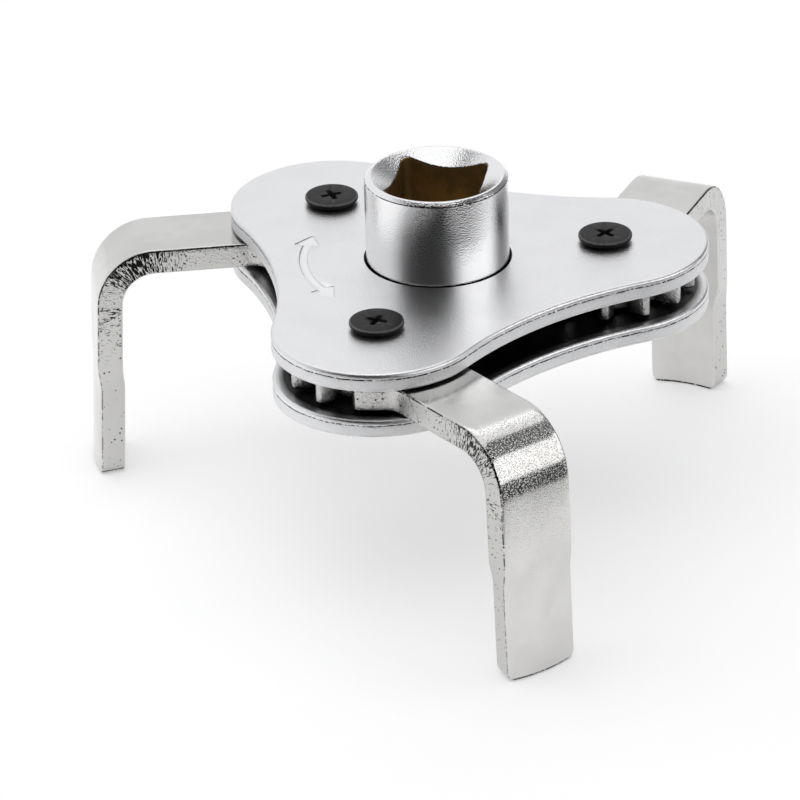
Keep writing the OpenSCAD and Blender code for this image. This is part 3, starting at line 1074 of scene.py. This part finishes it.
def cross_recess(bm, turn):
    """The tapered wall of the cross recess, as rows of vertices from the head's face down."""
    spin = Matrix.Rotation(math.radians(turn), 2)
    recess = []
    for depth, shrink in RECESS_ROWS:
        outline = cross_outline(RECESS_REACH - shrink * 1.1, RECESS_W - shrink * 0.3)
        recess.append([bm.verts.new((*(spin @ p), HEAD_H - depth)) for p in outline])
    for upper, lower in zip(recess, recess[1:]):
        bridge(bm, upper, lower)
    return recess


def screw(name, place, turn, node):
    """A flat black head with a cross recess, and its shank below z = 0."""
    bm = new_mesh()
    edge = quarter(HEAD_EDGE_R, HEAD_H, steps=4)
    side = [(inset, HEAD_H * share) for inset, share in HEAD_ROWS]
    neck = HEAD_R - SHANK_R
    shank = [(neck, 0), (neck, SHANK_TIP - SHANK_LEN), (neck + SHANK_TIP, -SHANK_LEN)]
    side_rows = range(len(edge), len(edge) + len(side))

    def uneven(p, row):
        """The side of the head is slightly uneven."""
        if row not in side_rows:
            return 0, 0
        return HEAD_UNEVEN * noise.noise(Vector((p.x, p.y, row)) * 3 + place.translation), 0

    rows = wall(bm, circle(HEAD_R, step=HEAD_STEP), edge + side + shank, shift=uneven)
    # The rolled edge is lighter where rubbed: wear, and also a painted highlight round the rim
    mark(bm, "edge", rows[1] + rows[2] + rows[3], 1.0)
    mark(bm, "rough", [v for k in side_rows for v in rows[k]], 1.0)
    recess = cross_recess(bm, turn)
    fill(bm, rows[0], recess[0])
    fill(bm, recess[-1])
    fill(bm, rows[-1])
    piece(name, bm, [SCREW_METAL], "plates", [node], place)


def screws():
    """A screw over each pivot, and one under it."""
    for i in range(len(JAWS)):
        foot = polar(PIVOT_R, i * LOBE_STEP)
        above = Matrix.Translation((*foot, PLATE_TOP))
        below = Matrix.Translation((*foot, PLATE_BASE)) @ Matrix.Rotation(math.pi, 4, "X")
        screw(f"top_screw_{i + 1}", above, RECESS_TURNS[i], "top_screws")
        screw(f"bottom_screw_{i + 1}", below, RECESS_TURNS[-1 - i], "bottom_screws")


# ---------------------------------------------------------------- object

plate("top_plate", GAP_TOP, PLATE_TOP, 3, True)
plate("bottom_plate", PLATE_BASE, GAP_BASE, 41, False)
drive_hub()
for number in JAWS:
    jaw(number)
screws()

for node_name, node in frame["nodes"].items():
    if node.hide_render:
        continue
    node.data.materials.clear()
    node.data.materials.append(BUSH_METAL if "bush" in node_name else WASHER_METAL)

# ---------------------------------------------------------------- floor, light and camera

VIEW_AZIMUTH = -8.44
VIEW_ELEVATION = 27.1
VIEW_ROLL = -1.56
VIEW_DISTANCE = 0.797
LENS = 246.4
SENSOR_W = 36
AIM = Vector((-0.00742, -0.00852, 0.0211))
FLOOR_HALF = 4.0
# The white wall's middle, clockwise from the camera as seen from above, and its half width
WALL_TURN = 138
WALL_HALF_WIDTH = 70
# The grey wall's middle, anticlockwise from the camera, and its half width
GREY_WALL_TURN = 130
GREY_WALL_HALF_WIDTH = 40
# Elevation of both walls' tops. They fade out over the second angle there, and over twice it at the sides
WALL_TOP = 56
WALL_FADE = 12
ROOM_DARK = (0.004, 0.004, 0.0042, 1)
ROOM_GREY = (0.2, 0.2, 0.205, 1)
ROOM_WHITE = (0.88, 0.882, 0.89, 1)
# As polished faces see it, the floor falls into shade between these distances towards the front right, m
SHADE_AZIMUTH = VIEW_AZIMUTH + 35
SHADE_FROM = 0.094
SHADE_TO = 0.112
SOFTBOX_DISTANCE = 1.7


def direction(azimuth, elevation):
    """Towards the given azimuth (0 is towards -Y, 90 towards +X) and elevation."""
    a = math.radians(azimuth)
    e = math.radians(elevation)
    return Vector((math.sin(a) * math.cos(e), -math.cos(a) * math.cos(e), math.sin(e)))


def floor():
    """A plain pale floor, whose mirror image in polished faces is dark towards the front right."""
    mesh = bpy.data.meshes.new("floor")
    corners = [(x * FLOOR_HALF, y * FLOOR_HALF, 0) for x, y in ((-1, -1), (1, -1), (1, 1), (-1, 1))]
    mesh.from_pydata(corners, [], [(0, 1, 2, 3)])
    made = bpy.data.objects.new("floor", mesh)
    bpy.context.scene.collection.objects.link(made)
    material, n, coords = start("pale_paper")
    paper = n.new("BsdfPrincipled", {
        "Base Color": (0.74, 0.74, 0.74, 1),
        "Roughness": 0.9,
        "Specular IOR Level": 0.1,
        "Emission Color": (1, 1, 1, 1),
        "Emission Strength": 0.47,
    })
    shaded = n.new("BsdfPrincipled", {"Base Color": (0.02, 0.02, 0.02, 1), "Roughness": 0.9})
    reach = n.dot(coords, direction(SHADE_AZIMUTH, 0))
    mirrored = n.new("LightPath").outputs["Is Glossy Ray"]
    in_shade = n.math("MULTIPLY", n.ramp(reach, SHADE_FROM, SHADE_TO), mirrored)
    both = n.new("MixShader", {0: in_shade, 1: paper.outputs[0], 2: shaded.outputs[0]})
    n.new("OutputMaterial", {"Surface": both.outputs[0]})
    mesh.materials.append(material)


def studio():
    """A room with a white wall behind and to the left and a grey wall on the right, dark towards the camera
    and overhead. Where the camera looks past the floor it sees plain white."""
    world = bpy.data.worlds.new("studio")
    bpy.context.scene.world = world
    world.use_nodes = True
    n = Nodes(world.node_tree)
    towards = n.new("TexCoord").outputs["Generated"]
    up = n.new("SeparateXYZ", {0: towards}).outputs["Z"]
    level = n.math("SQRT", n.math("SUBTRACT", 1.0, n.math("MULTIPLY", up, up)))

    def wall_patch(azimuth, half_width):
        """1 on the part of the room that a wall covers, seen from the middle."""
        wide, narrow = (math.cos(math.radians(half_width + side * WALL_FADE)) for side in (1, -1))
        over, under = (math.sin(math.radians(WALL_TOP + side * WALL_FADE / 2)) for side in (1, -1))
        facing = n.math("DIVIDE", n.dot(towards, direction(azimuth, 0)), n.math("MAXIMUM", level, 0.01))
        return n.math("MULTIPLY", n.ramp(facing, wide, narrow), n.ramp(up, over, under))

    colour = n.mix(wall_patch(VIEW_AZIMUTH + GREY_WALL_TURN, GREY_WALL_HALF_WIDTH), ROOM_DARK, ROOM_GREY)
    colour = n.mix(wall_patch(VIEW_AZIMUTH - WALL_TURN, WALL_HALF_WIDTH), colour, ROOM_WHITE)
    background = n.new("Background", {"Color": colour, "Strength": 1.0})
    seen = n.new("Background", {"Color": (1, 1, 1, 1), "Strength": 1.0})
    camera_ray = n.new("LightPath").outputs["Is Camera Ray"]
    both = n.new("MixShader", {0: camera_ray, 1: background.outputs[0], 2: seen.outputs[0]})
    n.new("OutputWorld", {"Surface": both.outputs[0]})


def softbox(name, azimuth, elevation, width, height, radiance, for_metal=True):
    """A light panel that either the polished faces reflect or the floor is lit by."""
    light = bpy.data.lights.new(name, "AREA")
    light.shape = "RECTANGLE"
    light.size = width
    light.size_y = height
    light.energy = radiance * math.pi * width * height
    made = bpy.data.objects.new(name, light)
    bpy.context.scene.collection.objects.link(made)
    towards = direction(azimuth, elevation)
    made.location = AIM + towards * SOFTBOX_DISTANCE
    made.rotation_mode = "QUATERNION"
    made.rotation_quaternion = towards.to_track_quat("Z", "Y")
    made.visible_diffuse = not for_metal
    made.visible_glossy = for_metal


def camera():
    """The camera, looking at AIM from the view's direction."""
    data = bpy.data.cameras.new("camera")
    data.lens = LENS
    data.sensor_width = SENSOR_W
    data.clip_start = 0.05
    data.clip_end = 50
    made = bpy.data.objects.new("camera", data)
    bpy.context.scene.collection.objects.link(made)
    back = direction(VIEW_AZIMUTH, VIEW_ELEVATION)
    made.location = AIM + back * VIEW_DISTANCE
    made.rotation_mode = "QUATERNION"
    roll = Matrix.Rotation(math.radians(VIEW_ROLL), 3, back)
    made.rotation_quaternion = (roll @ back.to_track_quat("Z", "Y").to_matrix()).to_quaternion()
    bpy.context.scene.camera = made


floor()
studio()
softbox("overhead_panel", VIEW_AZIMUTH + 168, 78, width=1.5, height=1.9, radiance=1.1)
softbox("right_panel", VIEW_AZIMUTH + 66, 25, width=2.2, height=1.15, radiance=1.5)
softbox("floor_light", VIEW_AZIMUTH - 25, 84, width=2.4, height=2.4, radiance=1.25, for_metal=False)
camera()
bpy.context.scene.view_settings.view_transform = "Standard"
